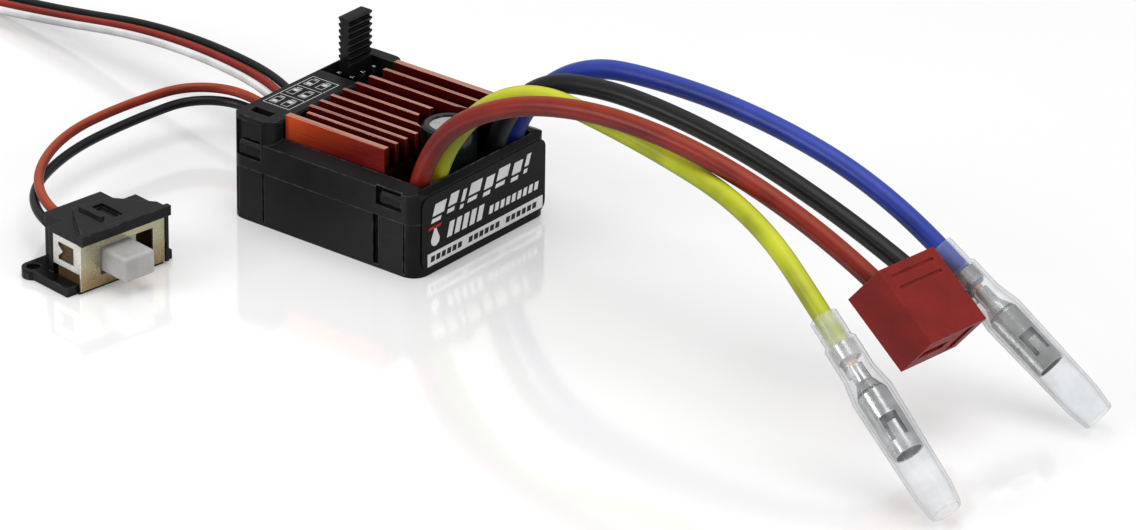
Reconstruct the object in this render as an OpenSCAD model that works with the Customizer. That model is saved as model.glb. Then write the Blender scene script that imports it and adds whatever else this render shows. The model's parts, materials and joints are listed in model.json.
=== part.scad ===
// Brushed motor speed controller for a model car: cased board with finned
// heatsink, four power wires, a receiver lead and a slide switch on two wires.
// Frame: origin at the centre of the case's flat underside, +Z up,
// +X towards the end that the power wires leave by, +Y across the case.

/* [Case] */
// Length of the case along X
case_l = 36.5; // [36:0.5:38]
// Width of the case along Y
case_w = 31.4; // [31:0.2:33]
// Height of the rear block, the highest part of the case
case_h = 17.3; // [17:0.1:18]
// Height of the line where the two case halves meet
part_line_z = 8.7; // [8.4:0.1:8.9]
// Wall thickness of the case halves
wall = 1.4; // [1.2:0.1:1.5]
// Radius of the upright corners of the case
corner_r = 2.6; // [2:0.2:3]

/* [Heatsink] */
// Number of cooling fins
fin_count = 10; // [8:1:10]
// Thickness of one fin
fin_t = 0.7; // [0.5:0.1:0.8]
// Height of the fin tips above the underside of the case
fin_top_z = 18.25; // [17.5:0.25:19]

/* [Capacitor] */
// Diameter of the capacitor's can
can_d = 8; // [6.3:0.1:8]
// Height of the top of the can
can_top_z = 17.5; // [16:0.5:18.5]

/* [Wires] */
// Outside diameter of the four power wires
power_d = 3.0; // [2.6:0.1:3]
// Outside diameter of the receiver lead's wires
receiver_d = 1.3; // [1.1:0.1:1.3]
// Outside diameter of the switch's wires
switch_wire_d = 1.5; // [1.2:0.1:1.5]

/* [Connectors] */
// Length of the battery plug
plug_l = 12.8; // [12:0.2:14]
// Inside diameter of the motor receptacles
bullet_bore_d = 4.0; // [3.5:0.1:4]
// Length of the clear sleeves
sleeve_l = 33.4; // [32:0.2:34]

/* [Switch] */
// Distance the slide switch travels
switch_travel = 3.6; // [2.5:0.1:3.6]
// Diameter of the holes in the switch holder's ears
ear_hole_d = 2.2; // [2:0.1:2.4]

/* [Hidden] */
$fn = 48;

half_l = case_l / 2;
half_w = case_w / 2;
EPS = 0.05;                 // how far a cutter runs past the face it opens

floor_t = 1.2;              // floor of the lower half
board_t = 1.6;
board_z = 3.6;              // underside of the circuit board
board_top = board_z + board_t;
board_l = 33.2;
board_w = 28;

rear_x = -9.5;              // front face of the raised rear block
deck_z = 14.4;              // deck beside the heatsink
ledge_z = 13.3;             // outer edge of the deck's slope
end_top_z = 14.2;           // top of the wall at the wire end
opening_x1 = 17.3;          // inner face of the wire end's wall
opening_y = 13.4;           // half width of the opening for heatsink and wires
far_shoulder_y = 12.5;      // where the closed far corner begins

can_x = 10.7;
can_y = 1.2;
can_z = 5.9;                // bottom of the can above the board

header_x = [-15.6, -13.06]; // two rows of pins
header_y = [6.9, 9.44, 11.98];
header_h = 2.54;
header_side = 1.2;          // base around the outer pins
pin_w = 0.64;
pin_top_z = 16.5;

black_plastic = [0.13, 0.13, 0.14];
tin = [0.78, 0.78, 0.76];
copper = [0.72, 0.42, 0.26];

// ---------------------------------------------------------------- helpers

module rounded_block(size, r, z0 = 0) {
    // Block centred on X and Y with rounded upright corners, exact arcs.
    translate([0, 0, z0])
        linear_extrude(size.z) rounded_rect(size.x, size.y, r);
}

module rounded_rect(l, w, r) {
    square([l - 2 * r, w], center = true);
    square([l, w - 2 * r], center = true);
    for (sx = [-1, 1], sy = [-1, 1])
        translate([sx * (l / 2 - r), sy * (w / 2 - r)]) circle(r);
}

module box(low, high) {
    translate(low) cube(high - low);
}

module both_sides() {
    children();
    mirror([0, 1, 0]) children();
}

// ------------------------------------------------------------- wire paths
// A wire is a chain of circular arcs. Each span between two knots is a pair
// of arcs that meet smoothly, so the wire has no kinks. A knot is a point and
// the direction the wire has there.

function unit(v) = v / norm(v);
function place(knot) = knot[0];
function heading(knot) = unit(knot[1]);

// Length of the control arms of an arc pair from p along s to q along t.
function arm(v, s, t) =
    let (k = 1 - s * t, m = v * (s + t))
    k < 1e-6 ? v * v / (2 * m) : (-m + sqrt(m * m + 2 * k * (v * v))) / (2 * k);

module rod(p, v, len, r) {
    translate(p) rotate([0, acos(v.z), atan2(v.y, v.x)]) cylinder(r = r, h = len);
}

module arc_piece(p, t, q, r) {
    chord = q - p;
    u = unit(chord);
    side = u - (u * t) * t;
    if (norm(side) < 0.008) {
        rod(p, u, norm(chord), r);
    } else {
        half = asin(norm(side));
        bend_r = norm(chord) / (2 * norm(side));
        n = unit(side);
        c = p + bend_r * n;
        w = cross(t, n);
        multmatrix([[-n.x, t.x, w.x, c.x], [-n.y, t.y, w.y, c.y], [-n.z, t.z, w.z, c.z], [0, 0, 0, 1]])
            rotate_extrude(angle = 2 * half, $fn = 96)
                translate([bend_r, 0]) circle(r, $fn = 24);
    }
}

// Low band round the wire that covers the seam of two pieces.
band_w = 0.6;
band_rise = 0.05;
module band(p, v, r) { rod(p - band_w / 2 * v, v, band_w, r + band_rise); }

module wire_run(path, r) {
    for (i = [0 : len(path) - 2]) {
        p = place(path[i]);
        q = place(path[i + 1]);
        s = heading(path[i]);
        t = heading(path[i + 1]);
        d = arm(q - p, s, t);
        a = p + d * s;
        b = q - d * t;
        mid = (a + b) / 2;
        arc_piece(p, s, mid, r);
        arc_piece(mid, unit(b - a), q, r);
        band(mid, unit(b - a), r);
        if (i > 0) band(p, s, r);
    }
}

module insulation(path, outer_d, inner_d) {
    difference() {
        wire_run(path, outer_d / 2);
        wire_run(path, inner_d / 2);
    }
}

// The bare core, longer than its insulation by a at the first end and b at the last.
module core(path, a, b, d) {
    first = path[0];
    last = path[len(path) - 1];
    wire_run(path, d / 2);
    for (end = [[first, -a], [last, b]]) {
        band(place(end[0]), heading(end[0]), d / 2);
        rod(place(end[0]), heading(end[0]) * sign(end[1]), abs(end[1]), d / 2);
    }
}

// Where each wire runs. The first point is inside the case.

function axis_dir(pitch, yaw) = [cos(pitch) * cos(yaw), cos(pitch) * sin(yaw), -sin(pitch)];

board_end_z = 6.3;          // power insulation stops above its solder joint
receptacle_wire = 7.9;      // insulation inside a sleeve
receptacle_core = 11.2;     // bare core inside a sleeve

yellow_start = [96.2, -21.1, 21.0];
yellow_pitch = 33.6;
yellow_yaw = -14.9;
yellow_axis = axis_dir(yellow_pitch, yellow_yaw);
blue_start = [95.4, 8.1, 20.7];
blue_pitch = 33;
blue_yaw = 1.4;
blue_axis = axis_dir(blue_pitch, blue_yaw);

plug_pos = [95.1, -3.5, 21.0];      // centre of the battery plug's wire face
plug_turn = [-7.2, 38.3, -3.7];
plug_side = 4;                      // each wire from the plug's centre line
plug_grip = 1.0;                    // insulation that the plug takes in
plug_axis = axis_dir(plug_turn.y, plug_turn.z);
plug_across = [
    sin(plug_turn.x) * sin(plug_turn.y) * cos(plug_turn.z) - cos(plug_turn.x) * sin(plug_turn.z),
    sin(plug_turn.x) * sin(plug_turn.y) * sin(plug_turn.z) + cos(plug_turn.x) * cos(plug_turn.z),
    sin(plug_turn.x) * cos(plug_turn.y)
];

up = [0, 0, 1];
red_base = [14.2, -11.3, board_end_z];
yellow_base = [14.4, -7.4, board_end_z];
black_base = [14.45, 6.4, board_end_z];
blue_base = [14.3, 10.6, board_end_z];

red_path = [
    [red_base, up], [[24.2, -10.8, 26.6], [0.83, 0.04, 0.55]],
    [[52.6, -9.5, 33.8], [1, 0.04, -0.03]],
    [plug_pos - plug_side * plug_across + plug_grip * plug_axis, [0.88, 0, -0.47]]
];
black_path = [
    [black_base, up], [[20.5, 5.6, 22.6], [0.66, -0.04, 0.75]],
    [[44.1, 4, 30.1], [1, -0.07, 0]],
    [plug_pos + plug_side * plug_across + plug_grip * plug_axis, [0.93, -0.05, -0.36]]
];
yellow_path = [
    [yellow_base, up], [[27, -7, 29.1], [0.84, 0, 0.54]],
    [[52.9, -7.1, 30.1], [1, -0.02, -0.17]], [[79.7, -14.2, 27.4], [0.91, -0.37, -0.18]],
    [yellow_start, yellow_axis], [yellow_start + receptacle_wire * yellow_axis, yellow_axis]
];
blue_path = [
    [blue_base, up], [[24.3, 10.3, 25.7], [0.8, -0.02, 0.6]],
    [[50.9, 9.5, 31.4], [1, -0.03, 0]],
    [blue_start, blue_axis], [blue_start + receptacle_wire * blue_axis, blue_axis]
];

lead_out = [-1, 0.45, 0];           // direction the thin leads leave the case in
switch_entry = [0.95, -0.3, 0];
switch_red_path = [
    [[-11.6, -5.6, 7.6], lead_out], [[-34, 5.2, 8.1], [-1, 0.02, 0]],
    [[-44.7, -17, 8.3], [0, -1, 0]], [[-27.1, -43.9, 7.4], switch_entry]
];
switch_black_path = [
    [[-13.4, -5, 6], lead_out], [[-33.6, 5, 6.2], [-1, 0.02, 0]],
    [[-43.2, -17, 6.1], [0, -1, 0]], [[-27.4, -45.3, 6], switch_entry]
];

receiver_path = [
    [[-12.6, -0.25, 8.3], lead_out], [[-38, 11.2, 8.8], [-1, 0.2, 0]],
    [[-107, 16.6, 1.25], [-1, -0.02, -0.06]]
];
// Step from one wire of the receiver lead to the next, at each knot above.
receiver_step = [[0.4, 1.4, 0.3], [0.3, 1.4, 0.5], [0, 2.54, 0]];

function receiver_wire(k) = [for (i = [0 : len(receiver_path) - 1])
    [place(receiver_path[i]) + k * receiver_step[i], receiver_path[i][1]]];

power_core_d = 1.5;
power_bore_d = 1.6;
thin_core_d = 0.6;
thin_bore_d = 0.7;
core_to_board = board_end_z - board_top - 0.02;
plug_tail = 1.4;            // bare core inside the battery plug
lead_tail = 1.2;            // bare core past a thin wire's insulation
receptacle_tail = receptacle_core - receptacle_wire;

module power_wire(path, tint) {
    color(tint) insulation(path, power_d, power_bore_d);
}

module power_core(path, tail) {
    color(copper) core(path, core_to_board, tail, power_core_d);
}

module red_wire() { power_wire(red_path, [0.62, 0.16, 0.12]); }
module black_wire() { power_wire(black_path, black_plastic); }
module yellow_wire() { power_wire(yellow_path, [0.78, 0.8, 0.2]); }
module blue_wire() { power_wire(blue_path, [0.25, 0.3, 0.7]); }
module red_wire_core() { power_core(red_path, plug_tail); }
module black_wire_core() { power_core(black_path, plug_tail); }
module yellow_wire_core() { power_core(yellow_path, receptacle_tail); }
module blue_wire_core() { power_core(blue_path, receptacle_tail); }

module thin_wire(path, outer_d, tint) {
    color(tint) insulation(path, outer_d, thin_bore_d);
}

module thin_core(path) {
    color(copper) core(path, lead_tail, lead_tail, thin_core_d);
}

module switch_wire_red() { thin_wire(switch_red_path, switch_wire_d, [0.72, 0.25, 0.1]); }
module switch_wire_black() { thin_wire(switch_black_path, switch_wire_d, black_plastic); }
module switch_wire_cores() { for (path = [switch_red_path, switch_black_path]) thin_core(path); }

module receiver_wire_black() { thin_wire(receiver_wire(1), receiver_d, black_plastic); }
module receiver_wire_red() { thin_wire(receiver_wire(0), receiver_d, [0.6, 0.08, 0.08]); }
module receiver_wire_white() { thin_wire(receiver_wire(-1), receiver_d, [0.92, 0.92, 0.92]); }
module receiver_wire_cores() { for (k = [-1 : 1]) thin_core(receiver_wire(k)); }

// ------------------------------------------------------------- case halves

groove_t = 0.3;             // depth of the fine lines on the long sides
tab_x = [-16.4, 11.2];      // low ends of the snap tabs on each long side
tab_l = [4.0, 3.9];
window_x = [-17.1, 10.4];   // low ends of the windows over the tabs
window_l = [5.0, 4.9];
window_top = [16.4, 13.4];
window_z = 10.4;
window_deep = 0.95;
tab_top = [12.9, 12.6];
tab_back = 1.3;             // tab's inner face, below the case's side face
tab_front = 0.6;            // tab's outer face under the window's sill
nose_front = 0.25;          // face of the tab's nose in the window
slot_y = [-4.4, 4.8];       // slot in the rear wall for the leads
slot_z = [5.1, 9.6];

module snap_tab(i) {
    // Upright tab with a wedge-shaped nose, on the -Y side.
    y0 = -half_w;
    box([tab_x[i], y0 + tab_front, part_line_z - 2], [tab_x[i] + tab_l[i], y0 + tab_back, tab_top[i]]);
    translate([tab_x[i], 0, 0]) rotate([90, 0, 90]) linear_extrude(tab_l[i])
        polygon([
            [y0 + tab_front + EPS, window_z + 0.1], [y0 + nose_front, window_z + 0.5],
            [y0 + nose_front, tab_top[i] - 0.5], [y0 + tab_front + EPS, tab_top[i]]
        ]);
}

module side_groove(x, w, z0, z1, deep) {
    box([x - w / 2, -half_w - EPS, z0], [x + w / 2, -half_w + deep, z1]);
}

module case_base() {
    post_d = 2.4;
    post_at = [9.5, 12.4];
    color(black_plastic) difference() {
        union() {
            difference() {
                rounded_block([case_l, case_w, part_line_z], corner_r);
                rounded_block([case_l - 2 * wall, case_w - 2 * wall, part_line_z], corner_r - wall + 0.2, floor_t);
            }
            // posts that carry the board
            for (sx = [-1, 1], sy = [-1, 1])
                translate([sx * post_at.x, sy * post_at.y, 0]) cylinder(d = post_d, h = board_z);
            both_sides() for (i = [0, 1]) snap_tab(i);
        }
        both_sides() {
            side_groove(-11.6, 0.3, 0.5, part_line_z + EPS, groove_t);
            side_groove(10.4, 1, 0.6, part_line_z + EPS, 0.7);
            side_groove(15.85, 0.25, 0.5, part_line_z + EPS, groove_t);
            side_groove(-17.0, 1.0, 0.9, 8.2, 0.8);
        }
        box([-half_l - EPS, slot_y[0], slot_z[0]], [-half_l + wall + EPS, slot_y[1], part_line_z + EPS]);
    }
}

module end_profile() {
    // Side view of the case's upper half.
    polygon([
        [-half_l, part_line_z], [-half_l, case_h - 1.0], [-half_l + 0.9, case_h],
        [rear_x - 0.35, case_h], [rear_x, case_h - 0.35], [rear_x, deck_z],
        [half_l - 2.2, deck_z], [half_l - 1.1, end_top_z], [half_l, 13.1], [half_l, part_line_z]
    ]);
}

module deck_profile() {
    // Cross section of the lower, forward stretch of the upper half.
    half = [[0, part_line_z], [half_w, part_line_z], [half_w, ledge_z], [half_w - 2.4, deck_z], [0, deck_z]];
    polygon(half);
    mirror([1, 0]) polygon(half);
}

module shell_outline() {
    // Everything the upper half fills before it is hollowed.
    intersection() {
        translate([0, half_w + 1, 0]) rotate([90, 0, 0]) linear_extrude(case_w + 2) end_profile();
        rounded_block([case_l, case_w, case_h], corner_r);
        union() {
            translate([-half_l - 1, 0, 0]) rotate([90, 0, 90]) linear_extrude(case_l + 2) deck_profile();
            translate([(rear_x - half_l) / 2, 0, 0])
                rounded_block([rear_x + half_l, case_w, case_h], 2.4);
        }
    }
}

bay_x0 = -17.2;
bay_y = [4.2, 13.65];

module case_top() {
    cavity_y = half_w - wall;
    roof = 1.4;
    color([0.16, 0.16, 0.17]) difference() {
        union() {
            difference() {
                shell_outline();
                // main cavity under the deck and under the rear block's roof
                rounded_block([case_l - 2 * wall, 2 * cavity_y, 12.6], corner_r - wall + 0.2, 0);
                box([-half_l + wall, -13.2, 12], [rear_x - 1.1, 13.2, case_h - roof]);
                // opening for the heatsink and the wires
                box([rear_x - EPS, -opening_y, 12], [opening_x1, far_shoulder_y, case_h]);
                box([rear_x - EPS, far_shoulder_y - EPS, 12], [10.4, opening_y, case_h]);
            }
            // thicker side walls behind the snap windows
            both_sides() for (i = [0, 1])
                box([window_x[i], -half_w + 1.2, part_line_z], [window_x[i] + window_l[i], -half_w + 2, 12.7]);
        }
        both_sides() for (i = [0, 1]) {
            box([window_x[i], -half_w - EPS, window_z],
                [window_x[i] + window_l[i], -half_w + window_deep, window_top[i]]);
            box([tab_x[i] - 0.15, -half_w + tab_front - 0.1, part_line_z - EPS],
                [tab_x[i] + tab_l[i] + 0.15, -half_w + tab_back + 0.1, tab_top[i] + 0.2]);
        }
        // slot in the roof and the open bay over the pin header
        box([-15.9, -13.8, case_h - 3], [-11.9, -12.1, case_h + EPS]);
        box([bay_x0, bay_y[0], part_line_z], [rear_x + EPS, bay_y[1], case_h + EPS]);
        // shallow seat of the settings label, inside a raised rim
        translate([-13.9, -4.1, case_h - 0.15]) linear_extrude(1) square([5.6, 12.2], center = true);
        box([-half_l - EPS, slot_y[0], part_line_z - EPS], [-half_l + wall + EPS, slot_y[1], slot_z[1]]);
    }
}

module front_label() {
    // Thin printed film on the end wall.
    color([0.05, 0.05, 0.05]) translate([half_l, 0, 0]) rotate([90, 0, 90])
        linear_extrude(0.12) translate([0.2, 6.9]) rounded_rect(29.2, 12, 1.6);
}

module settings_label() {
    color([0.3, 0.3, 0.31]) translate([-13.9, -4.1, case_h - 0.13])
        linear_extrude(0.1) square([5.5, 12.1], center = true);
}

// ---------------------------------------------------------------- heatsink

sink_x = [-9.2, 10];
sink_y = 13.2;
flange_y = 14.0;
flange_z = [11.2, 12.5];
sink_base_z = 14.3;         // floor of the gaps between fins
mosfet_h = 1.1;
pad_t = 0.5;
pad_z = board_top + mosfet_h;
pedestal = [[-7.4, -11.2], [6.2, 11.2]];
can_gap = 0.9;              // air round the capacitor

// Fins stand closer together near the low side, as their pitch grows.
function fin_y(i) = -12.3 + 1.9 * i + 0.1 * i * i;

module heatsink() {
    color([0.7, 0.2, 0.12]) difference() {
        union() {
            box([sink_x[0], -sink_y, flange_z[1] - EPS], [sink_x[1], sink_y, sink_base_z]);
            box([sink_x[0], -flange_y, flange_z[0]], [sink_x[1], flange_y, flange_z[1]]);
            box([pedestal[0].x, pedestal[0].y, pad_z + pad_t], [pedestal[1].x, pedestal[1].y, flange_z[0] + EPS]);
            for (i = [0 : fin_count - 1]) {
                outer = i == 0 || i == fin_count - 1;
                t = outer ? 1.1 : fin_t;
                y = i == 0 ? -sink_y + t / 2 : i == fin_count - 1 ? sink_y - t / 2 : fin_y(i);
                x0 = i == 1 ? -7.3 : outer ? sink_x[0] : -8.7;
                box([x0, y - t / 2, sink_base_z - EPS], [sink_x[1] + (outer ? 0 : 0.1), y + t / 2, fin_top_z]);
            }
        }
        translate([can_x, can_y, 0]) cylinder(r = can_d / 2 + can_gap, h = 30);
    }
}

module thermal_pad() {
    color([0.75, 0.75, 0.8])
        box([pedestal[0].x, pedestal[0].y, pad_z + 0.01], [pedestal[1].x, pedestal[1].y, pad_z + pad_t - 0.01]);
}

// ------------------------------------------------------------- electronics

lead_hole_d = 0.8;
can_lead_y = 1.75;
header_hole = 0.9;

module main_board() {
    color([0.05, 0.3, 0.15]) difference() {
        rounded_block([board_l, board_w, board_t], 1.5, board_z);
        for (s = [-1, 1])
            translate([can_x, can_y + s * can_lead_y, 0]) cylinder(d = lead_hole_d, h = 9);
        for (x = header_x, y = header_y) translate([x, y, 0]) cylinder(d = header_hole + 0.14, h = 9);
    }
}

module mosfets() {
    color([0.1, 0.1, 0.1])
        for (x = [-4.3, 3.1], y = [-8.4, -2.8, 2.8, 8.4])
            box([x - 3, y - 2.4, board_top + 0.01], [x + 3, y + 2.4, board_top + mosfet_h - 0.01]);
}

module microcontroller() {
    color([0.12, 0.12, 0.12]) box([-12.4, -12.6, board_top + 0.01], [-8.4, -8.6, board_top + 1]);
}

module bec_regulators() {
    color([0.1, 0.1, 0.1]) for (y = [0.4, 4])
        box([-10.3, y - 1.4, board_top + 0.01], [-7.7, y + 1.4, board_top + 1.6]);
}

module ceramic_capacitors() {
    color([0.6, 0.45, 0.3]) for (y = [-11, -8.6, -6.2, 8, 10.4])
        box([8.4, y - 0.6, board_top + 0.01], [10.4, y + 0.6, board_top + 1]);
}

module chip_resistors() {
    color([0.08, 0.08, 0.08]) for (y = [7.4, 9.2, 11])
        box([-10.6, y - 0.4, board_top + 0.01], [-9, y + 0.4, board_top + 0.45]);
}

module status_led() {
    color([0.9, 0.2, 0.15]) box([-16.2, 4.4, board_top + 0.01], [-14.6, 5.2, board_top + 0.6]);
}

module capacitor_can() {
    // Aluminium can with a scored vent cross on top.
    r = can_d / 2;
    color([0.85, 0.85, 0.87]) translate([can_x, can_y, 0]) difference() {
        rotate_extrude() polygon([
            [0, can_z + 1.5], [r - 0.25, can_z + 1.5], [r - 0.25, can_z], [r, can_z],
            [r, can_z + 1.2], [r - 0.25, can_z + 1.7], [r, can_z + 2.2],
            [r, can_top_z - 0.4], [r - 0.4, can_top_z], [0, can_top_z]
        ]);
        for (a = [0, 90]) rotate(a + 20)
            box([-r * 0.6, -0.1, can_top_z - 0.15], [r * 0.6, 0.1, can_top_z + 1]);
    }
}

module capacitor_sleeve() {
    // Shrunk plastic film that wraps the can and turns over its top edge.
    r = can_d / 2 + 0.03;
    film = 0.15;
    color([0.08, 0.12, 0.1]) translate([can_x, can_y, 0]) rotate_extrude() polygon([
        [r, can_z], [r + film, can_z], [r + film, can_top_z - 0.1], [r - 0.3, can_top_z + 0.2],
        [r - 1.0, can_top_z + 0.2], [r - 1.0, can_top_z + 0.03], [r - 0.37, can_top_z + 0.03],
        [r, can_top_z - 0.36]
    ]);
}

module capacitor_bung() {
    color([0.1, 0.1, 0.1]) translate([can_x, can_y, board_top + 0.02]) difference() {
        cylinder(r = can_d / 2 - 0.3, h = can_z + 1.45 - board_top);
        for (s = [-1, 1]) translate([0, s * can_lead_y, -1]) cylinder(d = 0.7, h = 9);
    }
}

module capacitor_leads() {
    color(tin) for (s = [-1, 1])
        translate([can_x, can_y + s * can_lead_y, board_z - 0.8]) cylinder(d = 0.6, h = can_z + 1.4 - board_z + 0.8);
}

module header_base() {
    color([0.06, 0.06, 0.06]) difference() {
        box([header_x[0] - header_side, header_y[0] - header_side, board_top + 0.01],
            [header_x[1] + header_side, header_y[2] + header_side, board_top + header_h]);
        for (x = header_x, y = header_y)
            translate([x - pin_w / 2 - 0.02, y - pin_w / 2 - 0.02, 0]) cube([pin_w + 0.04, pin_w + 0.04, 20]);
    }
}

module header_pins() {
    color([0.85, 0.8, 0.6]) for (x = header_x, y = header_y)
        box([x - pin_w / 2, y - pin_w / 2, board_z - 0.9], [x + pin_w / 2, y + pin_w / 2, pin_top_z]);
}

// Jumper cap with a tall ribbed grip, on two pins of the rear row.
cap_x = header_x[0];
cap_y = (header_y[1] + header_y[2]) / 2;
cap_w = 2.3;                // along X
cap_l = 5.3;                // along Y
cap_z = [10, 17.6];
grip_z = 25;
grip_w = 1.3;
rib_count = 7;
cap_slot = [1.5, 4.1];      // cavity for the spring clip
clip_t = 0.25;

module jumper_cap() {
    rib_step = (grip_z - cap_z[1]) / rib_count;
    color([0.07, 0.07, 0.07]) translate([cap_x, cap_y, 0]) difference() {
        union() {
            box([-cap_w / 2, -cap_l / 2 + 0.1, cap_z[0]], [cap_w / 2, cap_l / 2 - 0.1, cap_z[1]]);
            box([-grip_w / 2, -cap_l / 2, cap_z[1] - EPS], [grip_w / 2, cap_l / 2, grip_z]);
            // saw-tooth ribs on both faces of the grip
            for (s = [-1, 1], i = [0 : rib_count - 1])
                translate([0, cap_l / 2, cap_z[1] + i * rib_step]) rotate([90, 0, 0]) linear_extrude(cap_l)
                    polygon([[0, 0.1], [s * grip_w / 2, 0.1], [s * cap_w / 2, 0.75 * rib_step],
                        [s * cap_w / 2, 0.95 * rib_step], [s * grip_w / 2, rib_step], [0, rib_step]]);
        }
        box([-cap_slot.x / 2, -cap_slot.y / 2, cap_z[0] - 1], [cap_slot.x / 2, cap_slot.y / 2, cap_z[1] - 0.5]);
    }
}

module jumper_clip() {
    // Folded spring: two sockets joined by a bridge.
    color(tin) translate([cap_x, cap_y, 0]) {
        top = cap_z[1] - 0.55;
        half = [cap_slot.x / 2 - 0.04, cap_slot.y / 2 - 0.05];
        difference() {
            box([-half.x, -half.y, cap_z[0] + 0.4], [half.x, half.y, top]);
            box([-half.x + clip_t, -half.y + clip_t, 0], [half.x - clip_t, half.y - clip_t, top - clip_t]);
            // the sockets' outer sides are open, so the leaves can spring
            box([-2, -0.6, 0], [2, 0.6, top - 2]);
        }
    }
}

module solder_joints() {
    post_r = 0.6;
    hole_r = power_core_d / 2 + 0.07;
    fillet = [[hole_r, 0], [1.6, 0], [1.6, 0.25], [1.05, 1.0], [hole_r, 1.0]];
    color([0.75, 0.75, 0.76]) {
        for (p = [red_base, yellow_base, black_base, blue_base])
            translate([p.x, p.y, board_top + 0.01]) rotate_extrude() polygon(fillet);
        // one pad stands under the bare end of each thin wire
        for (path = [switch_red_path, switch_black_path, receiver_wire(-1), receiver_wire(0), receiver_wire(1)]) {
            tip = place(path[0]) - 0.7 * unit(lead_out);
            top = tip.z - thin_core_d / 2 - 0.02;
            translate([tip.x, tip.y, board_top + 0.01]) cylinder(r = post_r, h = top - board_top);
        }
    }
}

// -------------------------------------------------------------- connectors

plug_half_w = 6.85;
plug_half_h = 3.7;
entry_r = 1.95;
entry_deep = 3.4;
blade_start = 3.0;          // where the blades begin, inside the wire entries
tab_start = 1.7;            // where the solder tabs of the blades begin

module at_plug() { translate(plug_pos) rotate(plug_turn) children(); }

module battery_plug() {
    color([0.62, 0.17, 0.15]) at_plug() difference() {
        translate([plug_l / 2, 0, 0]) cube([plug_l, 2 * plug_half_w, 2 * plug_half_h], center = true);
        // wire entries, then the two blade slots at right angles to each other
        for (s = [-1, 1]) translate([-1, s * plug_side, 0]) rotate([0, 90, 0]) cylinder(r = entry_r, h = entry_deep + 1);
        box([blade_start - 0.15, -5.9, -0.95], [plug_l + 1, 0.3, 0.95]);
        box([blade_start - 0.15, 3.0, -2.8], [plug_l + 1, 4.9, 2.8]);
        // two shallow grip grooves on the broad faces
        for (x = [1.6, 3.6], s = [-1, 1])
            translate([x, 0, s * plug_half_h]) cube([0.5, 10.4, 0.5], center = true);
    }
}

module battery_plug_contacts() {
    // Sprung blades: one lies flat, the other stands on edge.
    t = 0.9;
    color([0.85, 0.7, 0.35]) at_plug() {
        box([tab_start, -plug_side - 1.2, -1.45], [entry_deep, -plug_side + 1.2, -0.9]);
        box([blade_start, -5.6, -0.9], [plug_l - 1.6, 0, -0.9 + t]);
        box([tab_start, plug_side - 1.2, -1.45], [entry_deep, plug_side + 1.2, -0.9]);
        box([blade_start, plug_side - 0.9, -2.5], [plug_l - 1.6, plug_side - 0.9 + t, 2.5]);
    }
}

barrel_x = [13.4, 23.4];    // receptacle barrel, from the sleeve's wire end
barrel_t = 0.35;
latch_x = 19.4;             // stamped outline of the latch tongue
latch_turn = 30;
latch_deep = 0.2;

module receptacle_shell() {
    // Rolled and crimped from one strip: crimp wings, strap, core crimp, barrel.
    r = bullet_bore_d / 2;
    R = r + barrel_t;
    color(tin) difference() {
        union() {
            rotate([0, 90, 0]) rotate_extrude() polygon([[1.6, 4.9], [1.92, 4.9], [1.92, 7.3], [1.6, 7.3]]);
            rotate([0, 90, 0]) rotate_extrude() polygon([
                [0.78, 8.5], [1.2, 8.5], [1.3, 11.2], [R, barrel_x[0]], [R, barrel_x[1]],
                [r, barrel_x[1]], [r, barrel_x[0] + 0.2], [1.0, 11.3], [0.78, 11.0]
            ]);
            box([7.2, -0.7, -1.9], [9.5, 0.7, -1.6]);
            box([8.4, -0.7, -1.89], [9.5, 0.7, -1.0]);
        }
        // seam of the rolled barrel and the stamped latch outline
        box([barrel_x[0] - 2.4, -0.12, -R - 1], [barrel_x[1] + 1, 0.12, -r + 0.5]);
        rotate([latch_turn, 0, 0]) intersection() {
            translate([latch_x, 0, R]) difference() {
                cube([3.8, 2.6, 3], center = true);
                translate([0.9, 0, 0]) cube([3.2, 1.4, 4], center = true);
            }
            rotate([0, 90, 0]) rotate_extrude() polygon([
                [R - latch_deep, barrel_x[0]], [R + 1, barrel_x[0]], [R + 1, barrel_x[1]], [R - latch_deep, barrel_x[1]]
            ]);
        }
    }
}

module clear_sleeve() {
    // Collar over the wire, then a wider body that tapers to an open mouth.
    color([0.92, 0.94, 0.95, 0.5]) rotate([0, 90, 0]) rotate_extrude() polygon([
        [1.75, 0], [2.15, 0], [2.15, 4.1], [2.55, 4.7], [2.55, 9.6], [3.2, 13.4],
        [2.9, sleeve_l - 3.5], [2.5, sleeve_l - 0.4], [2.35, sleeve_l], [2.1, sleeve_l],
        [2.56, sleeve_l - 3.5], [2.78, 13.6], [2.15, 9.8], [2.15, 4.8], [1.75, 4.3]
    ]);
}

module at_yellow() { translate(yellow_start) rotate([0, yellow_pitch, yellow_yaw]) children(); }
module at_blue() { translate(blue_start) rotate([0, blue_pitch, blue_yaw]) children(); }

module yellow_receptacle() { at_yellow() receptacle_shell(); }
module yellow_sleeve() { at_yellow() clear_sleeve(); }
module blue_receptacle() { at_blue() receptacle_shell(); }
module blue_sleeve() { at_blue() clear_sleeve(); }

receiver_plug_size = [14, 7.8, 2.5];
receiver_pitch = 2.54;

module at_receiver_plug() { translate([-107.3, 16.6, 1.25]) children(); }

module receiver_plug() {
    // Three-way crimp housing; the sockets open at the far end.
    color([0.07, 0.07, 0.07]) at_receiver_plug() difference() {
        translate([-receiver_plug_size.x, -receiver_plug_size.y / 2, -receiver_plug_size.z / 2]) cube(receiver_plug_size);
        for (k = [-1 : 1]) translate([0, k * receiver_pitch, 0]) {
            rotate([0, 90, 0]) translate([0, 0, -3]) cylinder(r = 0.85, h = 4);
            box([-receiver_plug_size.x - 1, -0.85, -0.85], [-2.9, 0.85, 0.85]);
            box([-9, -0.6, 0.8], [-5, 0.6, 2]);
        }
    }
}

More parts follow.
